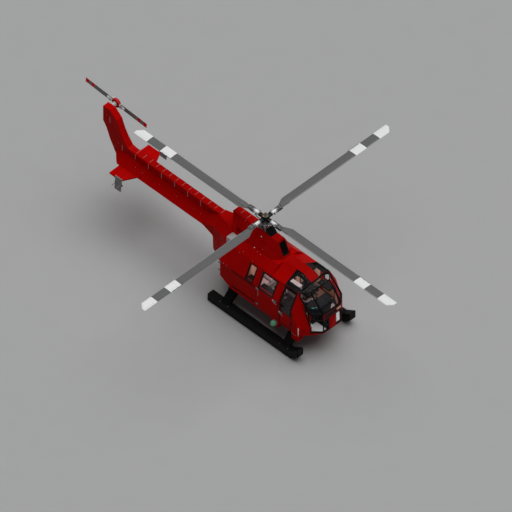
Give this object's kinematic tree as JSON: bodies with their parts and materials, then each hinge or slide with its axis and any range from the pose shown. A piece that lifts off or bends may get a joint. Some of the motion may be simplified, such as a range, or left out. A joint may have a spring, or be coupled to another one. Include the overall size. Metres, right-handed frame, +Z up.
{
  "type": "light twin-engined utility helicopter on skids",
  "caption": "Utility helicopter with a glazed cabin, hinged crew doors, rear clamshell doors, skids, a main rotor and an open tail rotor that turn.",
  "frame": {"origin": "middle of the machine's bounding box, on the ground under the skids", "axes": "+X towards the nose, +Y to port, +Z up along the rotor mast"},
  "size_m": [12.228, 9.84, 3.3192],
  "materials": {
    "red_paint": "gloss coat",
    "black_paint": "satin",
    "grey_paint": "satin",
    "blade_paint": "matt",
    "hub_paint": "satin",
    "exhaust_metal": "heat-dulled",
    "bare_metal": "satin",
    "window_glass": "clear",
    "green_lens": "clear lens",
    "red_lens": "clear lens",
    "seat_cover": "woven",
    "panel_plastic": "moulded",
    "floor_covering": "carpet",
    "tan_trim": "moulded trim"
  },
  "bodies": {
    "airframe": {"air_intake": "black_paint", "belly": "red_paint", "cabin_bulkhead": "tan_trim", "cabin_floor": "floor_covering", "canopy_frame": "black_paint", "canopy_glass": "window_glass", "cross_tube_front": "black_paint", "cross_tube_rear": "black_paint", "end_plate_left": "grey_paint", "end_plate_right": "grey_paint", "engine_cowling": "red_paint", "engines": "bare_metal", "exhaust_left": "exhaust_metal", "exhaust_right": "exhaust_metal", "front_seat_left": "seat_cover", "front_seat_right": "seat_cover", "instrument_panel": "panel_plastic", "light_fairing_left": "red_paint", "light_fairing_right": "red_paint", "main_gearbox": "bare_metal", "mast_fairing": "black_paint", "nose_shell": "red_paint", "position_light_left": "red_lens", "position_light_right": "green_lens", "quarter_glass_left": "window_glass", "quarter_glass_right": "window_glass", "rear_bench": "seat_cover", "rear_body": "red_paint", "rear_floor": "red_paint", "roof_front": "red_paint", "roof_rear": "red_paint", "shaft_cover": "red_paint", "side_frame_left": "red_paint", "side_frame_right": "red_paint", "skid_left": "black_paint", "skid_right": "black_paint", "sliding_door_left": "red_paint", "sliding_door_right": "red_paint", "sliding_glass_left": "window_glass", "sliding_glass_right": "window_glass", "stabiliser": "red_paint", "tail_boom": "red_paint", "tail_fin": "red_paint", "tail_gearbox": "bare_metal"},
    "main_rotor": {"main_blade_front": "blade_paint", "main_blade_left": "blade_paint", "main_blade_rear": "blade_paint", "main_blade_right": "blade_paint", "rotor_hub": "hub_paint", "rotor_mast": "bare_metal", "swashplate": "bare_metal"},
    "tail_rotor": {"tail_blade_front": "blade_paint", "tail_blade_rear": "blade_paint", "tail_rotor_hub": "red_paint"},
    "front_door_right": {"front_door_right": "red_paint", "front_door_glass_right": "window_glass"},
    "rear_door_right": {"rear_door_right": "red_paint"},
    "front_door_left": {"front_door_left": "red_paint", "front_door_glass_left": "window_glass"},
    "rear_door_left": {"rear_door_left": "red_paint"}
  },
  "joints": [
    {"name": "main_rotor_spin", "type": "hinge", "parent": "airframe", "child": "main_rotor", "pos_m": [1.1913, 0, 3.21], "axis": [0, 0, 1], "continuous": true},
    {"name": "tail_rotor_spin", "type": "hinge", "parent": "airframe", "child": "tail_rotor", "pos_m": [-4.9287, 0.3, 3.16], "axis": [0, 1, 0], "continuous": true},
    {"name": "front_door_right_hinge", "type": "hinge", "parent": "airframe", "child": "front_door_right", "pos_m": [3.0813, -0.875, 1.2], "axis": [0, 0, 1], "range_deg": [0, 75]},
    {"name": "rear_door_right_hinge", "type": "hinge", "parent": "airframe", "child": "rear_door_right", "pos_m": [0.2953, -0.875, 1.25], "axis": [0, 0, 1], "range_deg": [0, 100]},
    {"name": "front_door_left_hinge", "type": "hinge", "parent": "airframe", "child": "front_door_left", "pos_m": [3.0813, 0.875, 1.2], "axis": [0, 0, -1], "range_deg": [0, 75]},
    {"name": "rear_door_left_hinge", "type": "hinge", "parent": "airframe", "child": "rear_door_left", "pos_m": [0.2953, 0.875, 1.25], "axis": [0, 0, -1], "range_deg": [0, 100]}
  ]
}
